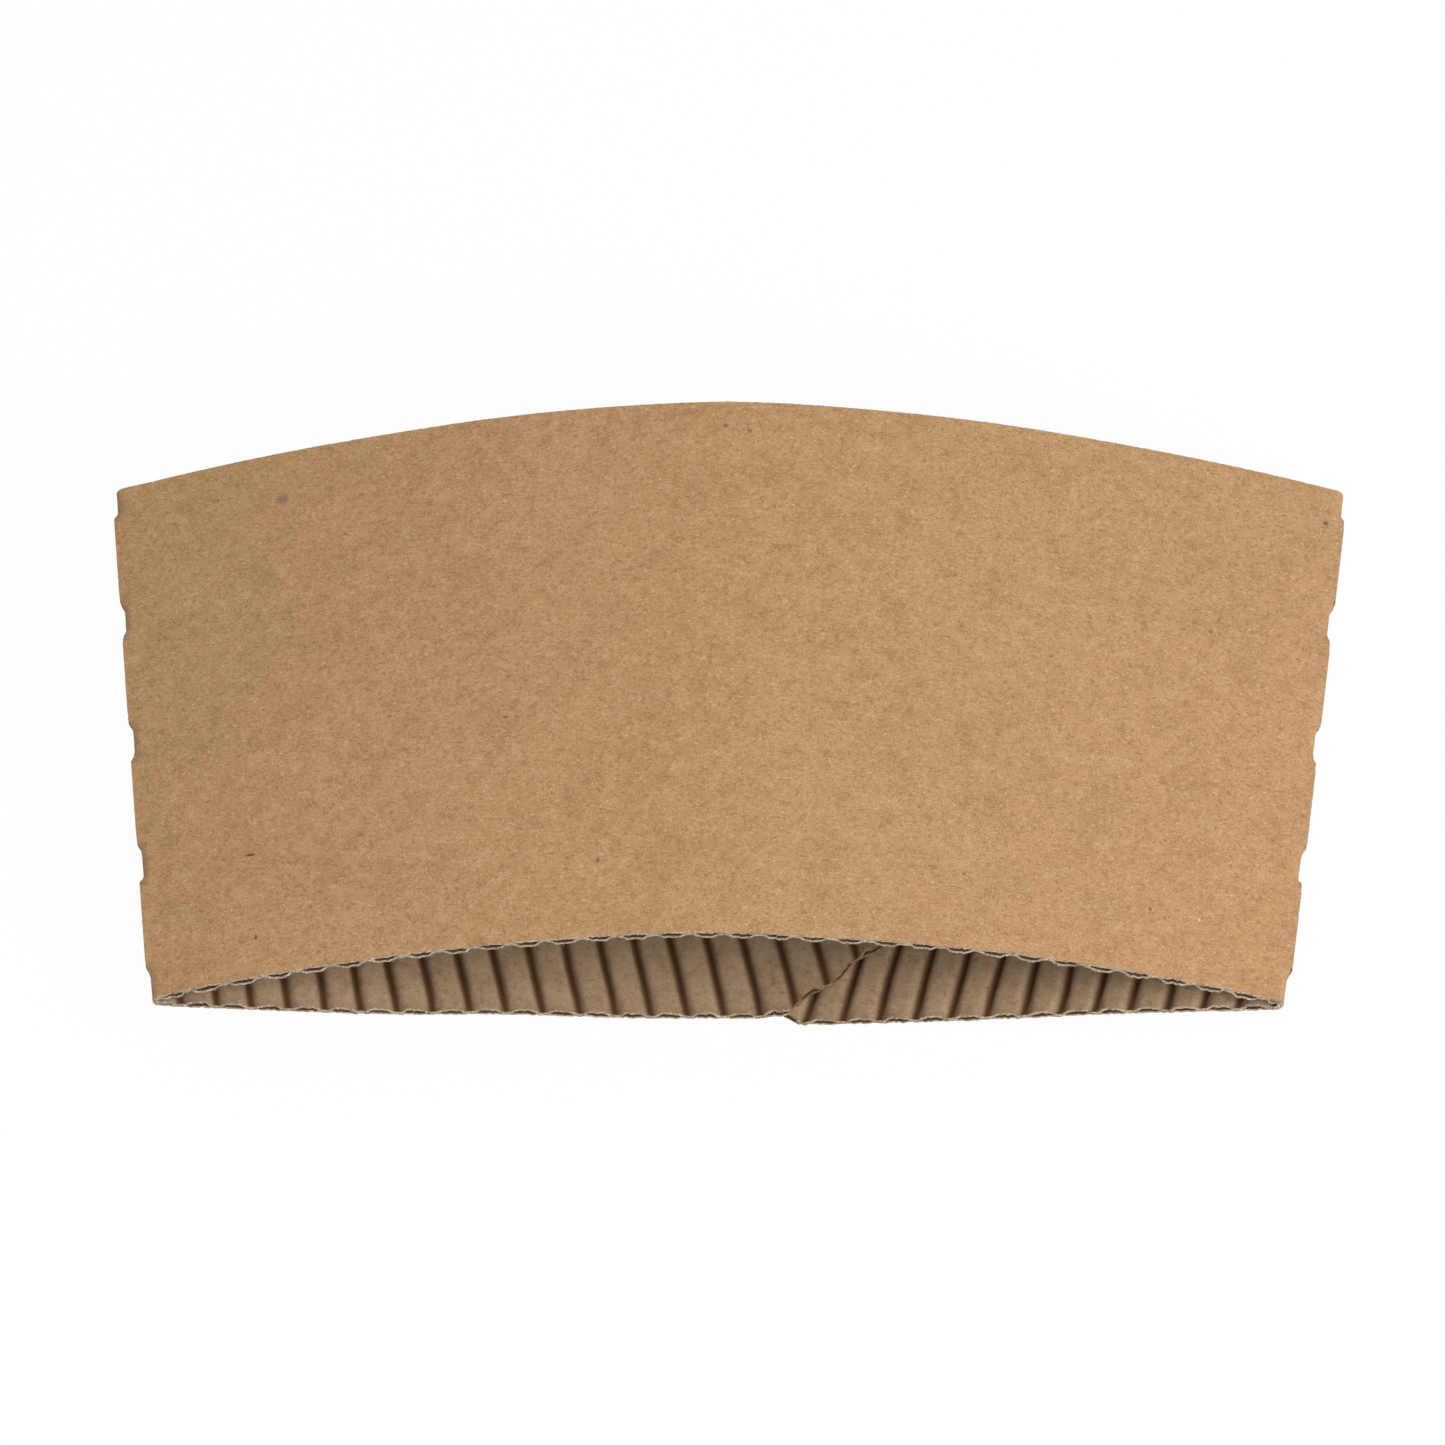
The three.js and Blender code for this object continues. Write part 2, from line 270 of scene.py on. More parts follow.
def blank_outline():
    corners = [
        (SMALL_RADIUS, ROOTS[-1]),
        (SMALL_RADIUS, ROOTS[1]),
        (SMALL_RADIUS + TONGUE_SLOPE_HEIGHT, TIPS[1]),
        (LARGE_RADIUS - TONGUE_SLOPE_HEIGHT, TIPS[1]),
        (LARGE_RADIUS, ROOTS[1]),
        (LARGE_RADIUS, ROOTS[-1]),
        (LARGE_RADIUS - TONGUE_SLOPE_HEIGHT, TIPS[-1]),
        (SMALL_RADIUS + TONGUE_SLOPE_HEIGHT, TIPS[-1]),
    ]
    edges = []
    for (r0, a0), (r1, a1) in zip(corners, corners[1:] + corners[:1]):
        def place(share):
            return polar(r0 + (r1 - r0) * share, a0 + (a1 - a0) * share)
        is_neat = r0 == r1 == LARGE_RADIUS
        is_seam = r0 != r1
        edges.append(torn_edge(polar(r0, a0), polar(r1, a1), place,
                               NEAT_ROUGHNESS if is_neat else EDGE_ROUGHNESS, SEAM_WAVE if is_seam else 0))
    return np.concatenate(edges)


def is_by_seam(place):
    """Whether a place on the flat blank is on one of the two sides that meet at the seam."""
    radius = math.hypot(place.x, place.y)
    is_between_ends = SMALL_RADIUS + EDGE_STEP < radius < LARGE_RADIUS - EDGE_STEP
    return is_between_ends and abs(math.atan2(place.x, place.y)) > FOLD_ANGLE * 1.5


def cut_with(tool, operation):
    for face in tool.data.polygons:
        face.material_index = SEAM_FACE if is_by_seam(face.center) else CUT_FACE
    make_active(board)
    cut = board.modifiers.new("die", "BOOLEAN")
    cut.operation = operation
    cut.object = tool
    cut.solver = "MANIFOLD"
    bpy.ops.object.modifier_apply(modifier=cut.name)
    bpy.data.objects.remove(tool, do_unlink=True)


def outline_die():
    outline = blank_outline()
    along = np.roll(outline, -BEVEL_SMOOTHING, axis=0) - np.roll(outline, BEVEL_SMOOTHING, axis=0)
    outward = np.stack([along[:, 1], -along[:, 0]], axis=1) / np.linalg.norm(along, axis=1)[:, None]
    bpy.ops.object.select_all(action="DESELECT")
    bpy.ops.mesh.primitive_circle_add(vertices=len(outline), fill_type="NGON")
    die = start_piece("outline_die")
    low = outline - outward * RULE_BEVEL * (DIE_HEIGHT + LINER_THICKNESS) / 2
    for vertex, (x, y) in zip(die.data.vertices, low):
        vertex.co = (x, y, -DIE_HEIGHT / 2)
    bpy.ops.object.mode_set(mode="EDIT")
    bpy.ops.mesh.select_all(action="SELECT")
    bpy.ops.mesh.extrude_region_move(TRANSFORM_OT_translate={"value": (0, 0, DIE_HEIGHT)})
    bpy.ops.mesh.select_all(action="SELECT")
    bpy.ops.mesh.normals_make_consistent(inside=False)
    bpy.ops.object.mode_set(mode="OBJECT")
    for k, (x, y) in enumerate(low + outward * RULE_BEVEL * DIE_HEIGHT):
        die.data.vertices[len(outline) + k].co = (x, y, DIE_HEIGHT / 2)
    return die


def slit_starts():
    return [SMALL_RADIUS + BRIDGE_LENGTH + k * (BRIDGE_LENGTH + SLIT_LENGTH) for k in range(SLITS_PER_FOLD)]


def slit_die():
    blades = []
    for side in (-1, 1):
        for start in slit_starts():
            bpy.ops.object.select_all(action="DESELECT")
            bpy.ops.mesh.primitive_cube_add(size=1)
            blade = start_piece("slit_blade")
            turn = Matrix.Rotation(-side * FOLD_ANGLE, 4, "Z")
            move = Matrix.Translation((0, start + SLIT_LENGTH / 2, 0))
            blade.data.transform(turn @ move @ Matrix.Diagonal((SLIT_WIDTH, SLIT_LENGTH, DIE_HEIGHT, 1)))
            blades.append(blade)
    for blade in blades:
        blade.select_set(True)
    bpy.ops.object.join()
    return bpy.context.object


cut_with(outline_die(), "INTERSECT")
cut_with(slit_die(), "DIFFERENCE")


# Creasing, folding and gluing: the flutes are crushed along the two folds, the back halves are
# turned under and glued, one ply over the other, and the ring springs a little open. At a fold
# the bridges go round a blunt nose, and the cut edges of the slits stand out straight.
FOLD_HEIGHTS = (8.3 * MM, 9.3 * MM)
FRONT_HEIGHTS = (15.9 * MM, 20.2 * MM)
FRONT_CURVES = (1.75, 1.6)
BACK_CURVE = 1.45
RESTING_HALF_WIDTH = 6.6 * MM
CREASED_CHANNEL = 0.1 * MM
CREASE_HALF = FLAT_THICKNESS + CREASED_CHANNEL + 0.05 * MM
CREASE_WIDTH = 3.5 * MM
NOSE_REACH = 1.1 * MM
NOSE_INSET = 0.45 * MM
SLIT_OPENS_OVER = 0.7 * MM
SLIT_CLOSES_OVER = 1.6 * MM
GLUE_BITE = 0.08 * MM
RAMP_END = 17 * MM
RAMP_START = 38 * MM
TONGUE_CURL = 0.28 * MM
CURL_WIDTH = 2.5 * MM
CURL_STARTS_OVER = 2 * MM
CURL_UNEVENNESS = 0.7
CARD_WAVE = 0.14 * MM
WAVE_FREE_HEIGHT = 2 * MM
WAVE_GAIN = 1.8
CROWN_WAVE = 0.1
FLUTE_WANDER = 0.13 * MM
EDGE_CRUSH = 0.74
EDGE_CRUSH_WIDTH = 2.0 * MM
EDGE_PINCH = 4
EDGE_SPLAY = 0.065 * MM
EDGE_SPLAY_WIDTH = 0.3 * MM
FRAY = 0.045 * MM
MIDDLE_RADIUS = (SMALL_RADIUS * math.cos(FOLD_ANGLE) + LARGE_RADIUS) / 2
PROBE_STEP = 0.01 * MM

waves = np.random.default_rng(21)


def wave_field(lengths):
    """A smooth random field over the blank, about -1 to 1, from waves of the given lengths."""
    parts = []
    for length in lengths:
        for _ in range(3):
            heading = waves.uniform(0, math.tau)
            parts.append((math.cos(heading) / length, math.sin(heading) / length, waves.uniform(0, math.tau)))

    def field(x, y):
        total = sum(np.sin(math.tau * (a * x + b * y) + phase) for a, b, phase in parts)
        return total / len(parts) * WAVE_GAIN
    return field


card_wave = wave_field([70 * MM, 38 * MM, 24 * MM])
crown_wave = wave_field([16 * MM, 9 * MM, 5 * MM])
wander_wave = wave_field([22 * MM, 11 * MM, 7 * MM])
fray_wave = wave_field([1.6 * MM, 0.9 * MM, 0.5 * MM])


def ease(share):
    share = np.clip(share, 0, 1)
    return share * share * (3 - 2 * share)


def between(ends, share):
    return ends[0] + (ends[1] - ends[0]) * share


def bridge_share(radius):
    """1 at a bridge and 0 in a slit. A slit opens at once at its upper end and closes slowly."""
    share = np.ones_like(radius)
    for start in slit_starts():
        closed_below = 1 - ease((radius - start) / SLIT_CLOSES_OVER)
        closed_above = 1 - ease((start + SLIT_LENGTH - radius) / SLIT_OPENS_OVER)
        share = np.minimum(share, np.maximum(closed_below, closed_above))
    return share


def from_cut_edge(radius, angle):
    """How far a place on the blank is from the nearest edge of its outline."""
    from_end = np.minimum(radius - SMALL_RADIUS, LARGE_RADIUS - radius)
    slope_share = np.clip(from_end / TONGUE_SLOPE_HEIGHT, 0, 1)
    lean = math.cos(math.atan(TONGUE_REACH / TONGUE_SLOPE_HEIGHT))
    squared = np.where(slope_share < 1, lean, 1)
    nearest = from_end
    for side in (-1, 1):
        edge = between((ROOTS[side], TIPS[side]), slope_share)
        nearest = np.minimum(nearest, radius * side * (edge - angle) * squared)
    return np.clip(nearest, 0, None)


def front_height(side, along):
    edge = between(FOLD_HEIGHTS, along) + CREASE_HALF
    middle = between(FRONT_HEIGHTS, along)
    return middle - (middle - edge) * np.abs(side) ** between(FRONT_CURVES, along)


def back_height(side, along):
    flat = RESTING_HALF_WIDTH / ((SMALL_END_WIDTH + FLARE * along) / 2)
    bend = np.clip((np.abs(side) - flat) / (1 - flat), 0, None)
    return (between(FOLD_HEIGHTS, along) - CREASE_HALF) * bend ** BACK_CURVE


def tongue_lift(radius, angle, panel_angle):
    """How far the left ply is raised: it climbs onto the right ply, and its cut edge curls up."""
    climbed = ease((radius * panel_angle + RAMP_START) / (RAMP_START - RAMP_END))
    curl = np.exp(-from_cut_edge(radius, angle) / CURL_WIDTH)
    on_tongue = ease((radius * (-angle - PANEL_ANGLE) - SEAM_OFFSET / 2) / CURL_STARTS_OVER)
    curl = curl * (1 + CURL_UNEVENNESS * wander_wave(radius, angle * radius))
    return (BOARD_THICKNESS - GLUE_BITE) * climbed + TONGUE_CURL * curl * on_tongue


def outer_face(radius, angle):
    """Where the liner's outer face is on the folded sleeve, for a place on the flat blank."""
    along = (radius - SMALL_RADIUS) / SLEEVE_HEIGHT
    from_fold = radius * (np.abs(angle) - FOLD_ANGLE)
    on_front = from_fold < 0
    in_nose = np.clip(np.abs(from_fold) / NOSE_REACH, 0, 1) * math.pi / 2
    bridge = bridge_share(radius) * (np.abs(from_fold) < NOSE_REACH)
    rounded = NOSE_REACH - (NOSE_REACH - NOSE_INSET) * np.cos(in_nose)
    inside = between((np.abs(from_fold), rounded), bridge)
    panel_angle = np.sign(angle) * (FOLD_ANGLE - inside / radius)
    side = panel_angle / FOLD_ANGLE
    fold = between(FOLD_HEIGHTS, along)
    height = np.where(on_front, front_height(side, along), back_height(side, along))
    height = fold + (height - fold) * between((1, np.sin(in_nose)), bridge)
    is_left_ply = ~on_front & (angle < 0)
    height = height + is_left_ply * tongue_lift(radius, angle, panel_angle)
    x = radius * np.sin(angle)
    y = radius * np.cos(angle)
    loose = np.clip(np.abs(inside) / CREASE_WIDTH, 0, 1) * np.clip(height / WAVE_FREE_HEIGHT, 0, 1)
    height = height + CARD_WAVE * loose * card_wave(x, y)
    # An arched panel is narrower than a flat one by the extra length of its arc
    slope = (between(FRONT_HEIGHTS, along) / 2 - CREASE_HALF) / ((SMALL_END_WIDTH + FLARE * along) / 2)
    bowed = 1 - 2 / 3 * slope ** 2
    return np.stack([radius * np.sin(panel_angle) * bowed,
                     radius * np.cos(panel_angle) - MIDDLE_RADIUS, height], axis=1)


def crushed_depth(x, y, depth):
    """The depth of a point below the liner's outer face, once the flutes are crushed and frayed."""
    radius = np.hypot(x, y)
    angle = np.arctan2(x, y)
    phase = ((x - FLUTE_OFFSET) / FLUTE_PITCH + 0.5) % 1 - 0.5
    outer = FLAT_THICKNESS + FLUTE_HEIGHT * crown_share(2 * phase)
    inner = LINER_THICKNESS + FLUTE_HEIGHT * crown_share(phase * FLUTE_PITCH / CHANNEL_HALF)
    on_top = depth > (outer + inner) / 2
    base = np.where(on_top, FLAT_THICKNESS, LINER_THICKNESS)
    from_fold = np.abs(radius * (np.abs(angle) - FOLD_ANGLE))
    from_edge = from_cut_edge(radius, angle)
    crown = np.clip((depth - base) / FLUTE_HEIGHT, 0, 1)
    pinched = EDGE_CRUSH * crown ** EDGE_PINCH
    crown = between((pinched, crown), ease(from_edge / EDGE_CRUSH_WIDTH))
    crown = crown * between((CREASED_CHANNEL / FLUTE_HEIGHT, 1), ease(from_fold / CREASE_WIDTH))
    crown = crown * (1 + CROWN_WAVE * crown_wave(x, y))
    splay = EDGE_SPLAY * np.exp(-from_edge / EDGE_SPLAY_WIDTH)
    fray = FRAY * fray_wave(x, y) * np.exp(-from_edge / EDGE_SPLAY_WIDTH)
    raised = base + FLUTE_HEIGHT * crown + np.where(on_top, splay + fray, fray - splay)
    is_liner = depth < LINER_THICKNESS + TINY
    return np.where(is_liner, depth, np.maximum(raised, LINER_THICKNESS))


def fold_up(piece):
    mesh = piece.data
    flat = np.empty(len(mesh.vertices) * 3)
    mesh.vertices.foreach_get("co", flat)
    x, y, depth = flat.reshape(-1, 3).T
    # The valley attribute: 1 at the bottom of a groove and 0 on the crown, kept for the painted shade of the
    # medium's valleys
    crown = np.clip((depth - FLAT_THICKNESS) / FLUTE_HEIGHT, 0, 1)
    valley = mesh.attributes.new("valley", "FLOAT", "POINT")
    valley.data.foreach_set("value", 1 - crown)

    depth = crushed_depth(x, y, depth)
    x = x + FLUTE_WANDER * wander_wave(x, y) * (depth > LINER_THICKNESS / 2)
    radius = np.hypot(x, y)
    angle = np.arctan2(x, y)
    point = outer_face(radius, angle)
    across = outer_face(radius, angle + PROBE_STEP / radius) - point
    along = outer_face(radius + PROBE_STEP, angle) - point
    outward = np.cross(across, along)
    outward /= np.linalg.norm(outward, axis=1, keepdims=True)
    folded = point - outward * depth[:, None]
    mesh.vertices.foreach_set("co", folded.ravel())
    mesh.update()


fold_up(board)
make_active(board)
board.name = "cup_sleeve_board"
bpy.ops.object.mode_set(mode="EDIT")
bpy.ops.mesh.select_all(action="SELECT")
bpy.ops.mesh.normals_make_consistent(inside=False)
bpy.ops.object.mode_set(mode="OBJECT")
bpy.ops.object.shade_smooth_by_angle(angle=math.radians(40))


# The kraft paper's finish: brown pulp fibres, mottled, with short dark and pale fibres and a few
# specks of bark. The liner is clean and warm, the medium is recycled and greyer, and the torn
# fibres of the cut edges are pale.
def add_node(tree, kind, settings=None, inputs=None):
    node = tree.nodes.new("ShaderNode" + kind)
    for key, value in (settings or {}).items():
        setattr(node, key, value)
    for key, value in (inputs or {}).items():
        socket = node.inputs[key]
        if isinstance(value, bpy.types.NodeSocket):
            tree.links.new(value, socket)
        else:
            socket.default_value = value
    return node


def srgb(red, green, blue):
    def linear(level):
        level /= 255
        return level / 12.92 if level <= 0.04045 else ((level + 0.055) / 1.055) ** 2.4
    return (linear(red), linear(green), linear(blue), 1)


def times(tree, first, second):
    return add_node(tree, "Math", {"operation": "MULTIPLY"}, {0: first, 1: second}).outputs[0]


def mix_colour(tree, share, first, second):
    node = add_node(tree, "Mix", {"data_type": "RGBA"}, {0: share, 6: first, 7: second})
    return node.outputs[2]


def ramp(tree, value, low, high):
    """0 below low, 1 above high, and smooth between them."""
    node = add_node(tree, "MapRange", {"interpolation_type": "SMOOTHSTEP"},
                    {"Value": value, "From Min": low, "From Max": high})
    return node.outputs["Result"]


def noise(tree, place, scale, detail=2.0, roughness=0.5):
    return add_node(tree, "TexNoise", None, {
        "Vector": place, "Scale": scale, "Detail": detail, "Roughness": roughness}).outputs["Fac"]


def paper_pulp_group():
    group = bpy.data.node_groups.new("paper_pulp", "ShaderNodeTree")
    sockets = group.interface
    sockets.new_socket("Pulp", in_out="INPUT", socket_type="NodeSocketColor")
    sockets.new_socket("Dark Fibre", in_out="INPUT", socket_type="NodeSocketColor")
    sockets.new_socket("Pale Fibre", in_out="INPUT", socket_type="NodeSocketColor")
    for name, value in (("Mottle", 0.5), ("Fibres", 0.5), ("Specks", 0.5)):
        socket = sockets.new_socket(name, in_out="INPUT", socket_type="NodeSocketFloat")
        socket.default_value = value
    sockets.new_socket("Colour", in_out="OUTPUT", socket_type="NodeSocketColor")
    sockets.new_socket("Height", in_out="OUTPUT", socket_type="NodeSocketFloat")
    given = group.nodes.new("NodeGroupInput").outputs
    place = add_node(group, "TexCoord").outputs["Object"]
    dark = given["Dark Fibre"]
    pale = given["Pale Fibre"]

    # The cloudy look of the pulp at three sizes: a wide tint, curds, and small clots
    colour = given["Pulp"]
    for scale, low, high, share, tone in (
            (210.0, 0.45, 0.7, 0.22, dark), (650.0, 0.5, 0.7, 0.3, dark), (650.0, 0.47, 0.3, 0.16, pale),
            (1500.0, 0.55, 0.72, 0.5, dark), (1500.0, 0.46, 0.3, 0.14, pale)):
        cloud = ramp(group, noise(group, place, scale, 2, 0.55), low, high)
        colour = mix_colour(group, times(group, times(group, cloud, share), given["Mottle"]), colour, tone)

    # Short fibres, longer across the flutes than along them, and a fine grit
    lain = add_node(group, "Mapping", None, {"Vector": place, "Scale": (0.75, 1.2, 1.2)}).outputs[0]
    fibre = noise(group, lain, 2800, 2, 0.65)
    grain = noise(group, place, 6000, 2, 0.65)
    for mask, tone in ((ramp(group, fibre, 0.53, 0.72), dark), (ramp(group, fibre, 0.42, 0.24), pale),
                       (ramp(group, grain, 0.52, 0.72), dark), (ramp(group, grain, 0.45, 0.26), pale)):
        colour = mix_colour(group, times(group, mask, given["Fibres"]), colour, tone)

    # A few specks of bark
    cell = add_node(group, "TexVoronoi", None, {"Vector": place, "Scale": 420.0})
    near = ramp(group, cell.outputs["Distance"], 0.14, 0.05)
    chosen = add_node(group, "SeparateColor", None, {0: cell.outputs["Color"]}).outputs[0]
    rare = add_node(group, "Math", {"operation": "GREATER_THAN"}, {0: chosen, 1: 0.93}).outputs[0]
    speck = times(group, times(group, near, rare), given["Specks"])
    colour = mix_colour(group, speck, colour, srgb(92, 66, 42))

    height = add_node(group, "Math", {"operation": "ADD"},
                      {0: times(group, fibre, 0.6), 1: times(group, grain, 0.4)}).outputs[0]
    outputs = group.nodes.new("NodeGroupOutput")
    group.links.new(colour, outputs.inputs["Colour"])
    group.links.new(height, outputs.inputs["Height"])
    return group


PAPER_PULP = paper_pulp_group()


def paper(name, pulp, dark, pale, mottle, fibres, specks, bump, shade=None):
    """A paper finish. shade turns the tree and the pulp's colour into the colour that shows."""
    material = bpy.data.materials.new(name)
    material.use_nodes = True
    tree = material.node_tree
    shader = tree.nodes["Principled BSDF"]
    group = add_node(tree, "Group", {"node_tree": PAPER_PULP}, {
        "Pulp": pulp, "Dark Fibre": dark, "Pale Fibre": pale,
        "Mottle": mottle, "Fibres": fibres, "Specks": specks})
    colour = group.outputs["Colour"]
    if shade:
        colour = shade(tree, colour)
    tree.links.new(colour, shader.inputs["Base Color"])
    bumped = add_node(tree, "Bump", None, {
        "Strength": bump, "Distance": 0.06 * MM, "Height": group.outputs["Height"]})
    tree.links.new(bumped.outputs["Normal"], shader.inputs["Normal"])
    shader.inputs["Roughness"].default_value = 0.92
    shader.inputs["Specular IOR Level"].default_value = 0.22
    return material


def paint_valley_shade(tree, colour):
    """Painted shade: the valleys of the medium are painted darker towards the bottom of each groove."""
    valley = add_node(tree, "Attribute", {"attribute_name": "valley"}).outputs["Fac"]
    valley_shade = ramp(tree, valley, 0.06, 0.98)
    return mix_colour(tree, times(tree, valley_shade, 0.92), colour, srgb(72, 41, 12))


MARKS = (
    ((-43.8, 24.2), (0.75, 0.6), srgb(122, 98, 92), 0.6),
    ((-45.3, -16.7), (0.55, 0.14), srgb(96, 62, 34), 0.9),
    ((-44.4, -26.1), (0.12, 0.32), srgb(104, 66, 34), 0.8),
    ((41.5, -23.0), (0.18, 0.3), srgb(122, 94, 60), 0.75),
    ((58.9, 24.1), (0.3, 0.3), srgb(110, 82, 58), 0.8),
    ((46.2, -23.6), (0.16, 0.26), srgb(220, 194, 156), 0.7),
    ((-11.5, -20.1), (0.2, 0.3), srgb(112, 82, 52), 0.8),
    ((-20.9, -3.6), (0.36, 0.16), srgb(120, 90, 58), 0.8),
)


def add_marks(tree, colour):
    """The few marks in the liner: a smudge, shives of wood and one pale fleck, by place in mm."""
    place = add_node(tree, "TexCoord").outputs["Object"]
    for (x, y), (wide, high), tone, share in MARKS:
        turned = add_node(tree, "Mapping", {"vector_type": "TEXTURE"}, {
            "Vector": place, "Location": (x * MM, y * MM, 12 * MM), "Scale": (wide * MM, high * MM, 12 * MM)})
        far = add_node(tree, "VectorMath", {"operation": "LENGTH"}, {0: turned.outputs[0]}).outputs["Value"]
        mark = times(tree, ramp(tree, far, 1.15, 0.55), share)
        colour = mix_colour(tree, mark, colour, tone)
    return colour


liner_paper = paper("kraft_liner", srgb(184, 144, 103), srgb(142, 104, 64), srgb(222, 188, 150),
                    0.75, 0.56, 0.6, 0.4, add_marks)
# The fluted medium carries painted shade in its valleys
medium_paper = paper("fluted_medium", srgb(165, 139, 109), srgb(118, 94, 70), srgb(196, 174, 146),
                     0.9, 0.35, 0.7, 0.4, paint_valley_shade)
# Painted shade: the insides of the flute channels are painted dark, standing in for the shade inside the
# hollow flutes
channel_shade_paper = paper("flute_channel", srgb(98, 74, 50), srgb(70, 50, 32), srgb(128, 102, 74),
                      0.5, 0.3, 0.2, 0.3)
cut_paper = paper("cut_edge", srgb(172, 154, 132), srgb(98, 78, 60), srgb(228, 216, 200),
                  1.0, 0.9, 0.0, 0.8)
# Painted shade: the cut edges at the seam get a darker, browner copy of the cut edge's finish
seam_shade_paper = paper("seam_edge", srgb(140, 112, 82), srgb(84, 60, 40), srgb(190, 164, 132),
                   1.0, 0.9, 0.0, 0.8)
for finish, material in ((LINER_FACE, liner_paper), (MEDIUM_FACE, medium_paper),
                         (CHANNEL_FACE, channel_shade_paper), (CUT_FACE, cut_paper), (SEAM_FACE, seam_shade_paper)):
    board.data.materials[finish] = material

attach(board, "root")
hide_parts("cup_sleeve")


# The torn fibres: where the rule has cut and torn the paper, single fibres and shreds stand out
# of the cut edges. One sliver is modelled, and copies of it are set into the edges at random.
FIBRE_COUNT = 2600
FIBRE_LENGTHS = (0.12 * MM, 0.42 * MM)
FIBRE_WIDTHS = (0.03 * MM, 0.075 * MM)
FIBRE_ROOT = 0.15
FIBRE_TIP = 0.12
FIBRE_STANDS_OUT = (0.3, 1.0)
FIBRE_STRAY = 0.55
LEAST_STANDING = 0.1
FIBRE_BEND = 0.35
shreds = np.random.default_rng(33)


def one_sliver():
    """A three-sided sliver along Z, one unit long and one wide, which tapers and bends."""
    bpy.ops.object.select_all(action="DESELECT")
    bpy.ops.mesh.primitive_cone_add(vertices=3, radius1=0.5, radius2=FIBRE_TIP, depth=1)
    sliver = start_piece("torn_fibres")
    bpy.ops.object.mode_set(mode="EDIT")
    select_where("edges", lambda p: abs(p[0].z - p[1].z) > 0.5)
    bpy.ops.mesh.subdivide(number_cuts=2)
    bpy.ops.object.mode_set(mode="OBJECT")
    sliver.data.transform(Matrix.Translation((0, 0, 0.5 - FIBRE_ROOT)))
    return sliver


def cut_faces(piece):
    mesh = piece.data
    faces = [face for face in mesh.polygons if face.material_index == CUT_FACE]
    areas = np.array([face.area for face in faces])
    return faces, areas / areas.sum()


def scatter_slivers(sliver, piece):
    mesh = piece.data
    faces, odds = cut_faces(piece)
    shape = np.array([vertex.co for vertex in sliver.data.vertices])
    cells = [list(face.vertices) for face in sliver.data.polygons]
    points = []
    polygons = []
    for pick in shreds.choice(len(faces), FIBRE_COUNT, p=odds):
        face = faces[pick]
        corners = np.array([mesh.vertices[k].co for k in face.vertices])
        shares = shreds.dirichlet(np.ones(len(corners)))
        root = shares @ corners
        normal = np.array(face.normal)
        heading = normal * shreds.uniform(*FIBRE_STANDS_OUT) + shreds.normal(0, FIBRE_STRAY, 3)
        heading /= np.linalg.norm(heading)
        if heading @ normal < LEAST_STANDING:
            heading = heading + normal * 0.5
            heading /= np.linalg.norm(heading)
        side = np.cross(heading, shreds.normal(0, 1, 3))
        side /= np.linalg.norm(side)
        third = np.cross(heading, side)
        length = shreds.uniform(*FIBRE_LENGTHS) * shreds.uniform(0.5, 1)
        width = shreds.uniform(*FIBRE_WIDTHS)
        bend = shreds.uniform(-FIBRE_BEND, FIBRE_BEND) * length
        start = len(points)
        for x, y, z in shape:
            curve = bend * max(z, 0) ** 2
            points.append(root + side * (x * width + curve) + third * y * width + heading * z * length)
        polygons.extend([[start + k for k in cell] for cell in cells])
    fresh = bpy.data.meshes.new("torn_fibres")
    fresh.from_pydata([(x, y, max(z, 0)) for x, y, z in points], [], polygons)
    sliver.data = fresh


fibres = one_sliver()
scatter_slivers(fibres, board)
fibre_paper = paper("torn_fibre", srgb(222, 208, 188), srgb(176, 154, 128), srgb(242, 234, 222),
                    0.8, 0.5, 0.0, 0.0)
fibres.data.materials.append(fibre_paper)
make_active(fibres)
bpy.ops.object.mode_set(mode="EDIT")
bpy.ops.mesh.select_all(action="SELECT")
bpy.ops.mesh.normals_make_consistent(inside=False)
bpy.ops.object.mode_set(mode="OBJECT")
bpy.ops.object.shade_smooth()
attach(fibres, "root")
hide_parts("cup_sleeve")


# The studio: a white sheet under the sleeve, which keeps only a faint shadow, one large soft
# lamp above and in front, from the right, and pale light from all round.
FLOOR_SIZE = 6.0
WORLD_LEVEL = 0.5
LAMP_SIZE = 0.5
LAMP_POWER = 3.2
LAMP_PLACE = Vector((0.3, -0.32, 0.42))
FLOOR_GLOW = 0.97
FLOOR_DROP = 0.02 * MM

bpy.ops.object.select_all(action="DESELECT")
bpy.ops.mesh.primitive_plane_add(size=FLOOR_SIZE)
floor = bpy.context.object
floor.name = "white_floor"
floor.data.transform(Matrix.Translation((0, 0, -FLOOR_DROP)))
floor_material = bpy.data.materials.new("white_floor")
floor_material.use_nodes = True
floor_tree = floor_material.node_tree
floor_shader = floor_tree.nodes["Principled BSDF"]
floor_shader.inputs["Base Color"].default_value = (0.9, 0.9, 0.9, 1)
floor_shader.inputs["Roughness"].default_value = 0.9
seen = add_node(floor_tree, "LightPath").outputs["Is Camera Ray"]
glow = add_node(floor_tree, "Emission", None, {"Color": (1, 1, 1, 1), "Strength": 1.0})
floor_mix = add_node(floor_tree, "MixShader", None, {
    0: times(floor_tree, seen, FLOOR_GLOW), 1: floor_shader.outputs[0], 2: glow.outputs[0]})
floor_tree.links.new(floor_mix.outputs[0], floor_tree.nodes["Material Output"].inputs["Surface"])
floor.data.materials.append(floor_material)

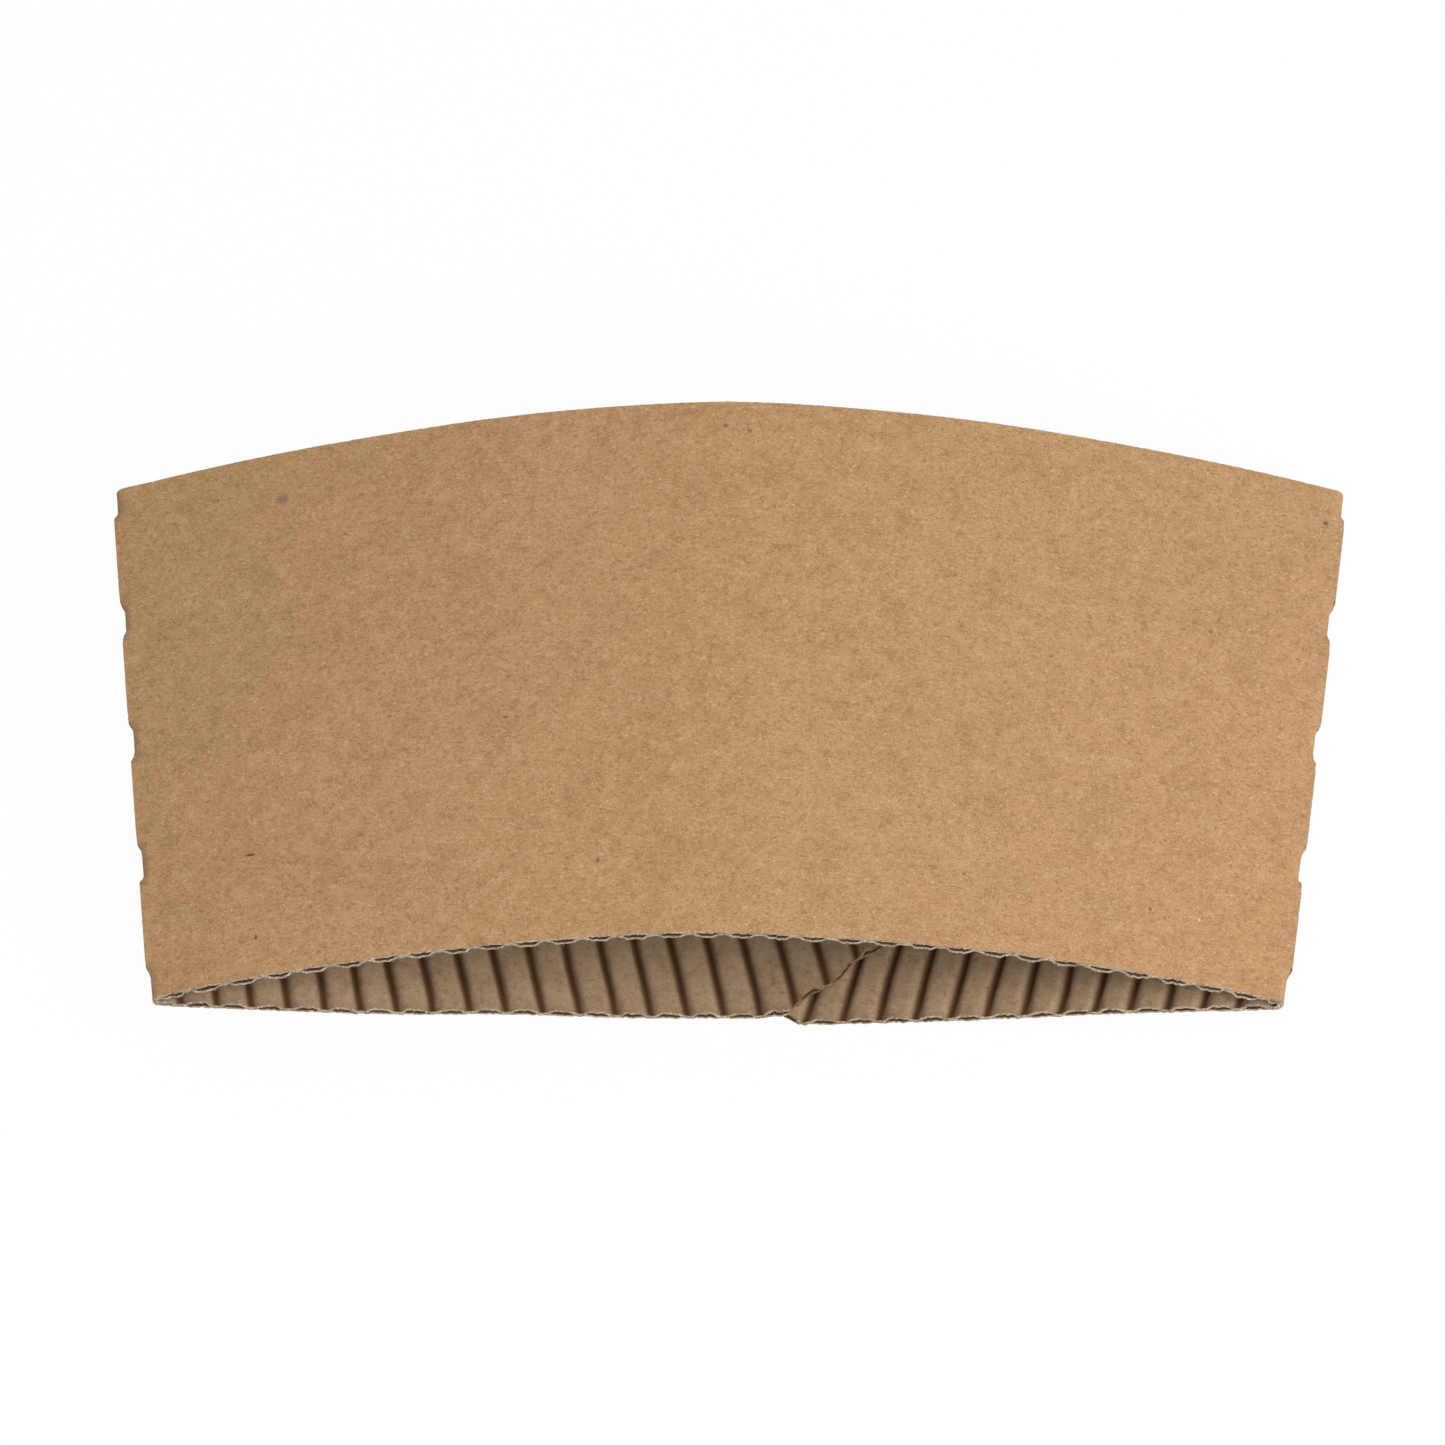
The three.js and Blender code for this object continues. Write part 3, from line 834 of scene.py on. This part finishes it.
world = bpy.data.worlds.new("pale_room")
world.use_nodes = True
world.node_tree.nodes["Background"].inputs["Color"].default_value = (1, 1, 1, 1)
world.node_tree.nodes["Background"].inputs["Strength"].default_value = WORLD_LEVEL
bpy.context.scene.world = world

lamp_data = bpy.data.lights.new("soft_lamp", "AREA")
lamp_data.shape = "DISK"
lamp_data.size = LAMP_SIZE
lamp_data.energy = LAMP_POWER
lamp = bpy.data.objects.new("soft_lamp", lamp_data)
lamp.location = LAMP_PLACE
lamp.rotation_euler = LAMP_PLACE.to_track_quat("Z", "Y").to_euler()
bpy.context.collection.objects.link(lamp)


# The camera: a long lens, looking down at the small end from a little to the right
VIEW_AZIMUTH = math.radians(3.065)
VIEW_ELEVATION = math.radians(55.05)
VIEW_ROLL = math.radians(-2.37)
VIEW_DISTANCE = 1.08
VIEW_CENTRE = Vector((0, -1.54 * MM, 8.8 * MM))
SENSOR_WIDTH = 36
LENS_LENGTH = 276.14
LENS_SHIFT = (-0.00046, 0.01495)
CLIP_END = 10

camera_data = bpy.data.cameras.new("camera")
camera_data.sensor_width = SENSOR_WIDTH
camera_data.lens = LENS_LENGTH
camera_data.shift_x, camera_data.shift_y = LENS_SHIFT
camera_data.clip_end = CLIP_END
camera = bpy.data.objects.new("camera", camera_data)
backwards = Vector((math.sin(VIEW_AZIMUTH) * math.cos(VIEW_ELEVATION),
                    -math.cos(VIEW_AZIMUTH) * math.cos(VIEW_ELEVATION), math.sin(VIEW_ELEVATION)))
level = Vector((0, 0, 1)).cross(backwards).normalized()
upright = backwards.cross(level)
right = level * math.cos(VIEW_ROLL) + upright * math.sin(VIEW_ROLL)
up = upright * math.cos(VIEW_ROLL) - level * math.sin(VIEW_ROLL)
place = VIEW_CENTRE + backwards * VIEW_DISTANCE
camera.matrix_world = Matrix([(*row, shift) for row, shift in zip(
    zip(right, up, backwards), place)] + [(0, 0, 0, 1)])
bpy.context.collection.objects.link(camera)
bpy.context.scene.camera = camera
bpy.context.scene.view_settings.view_transform = "Standard"
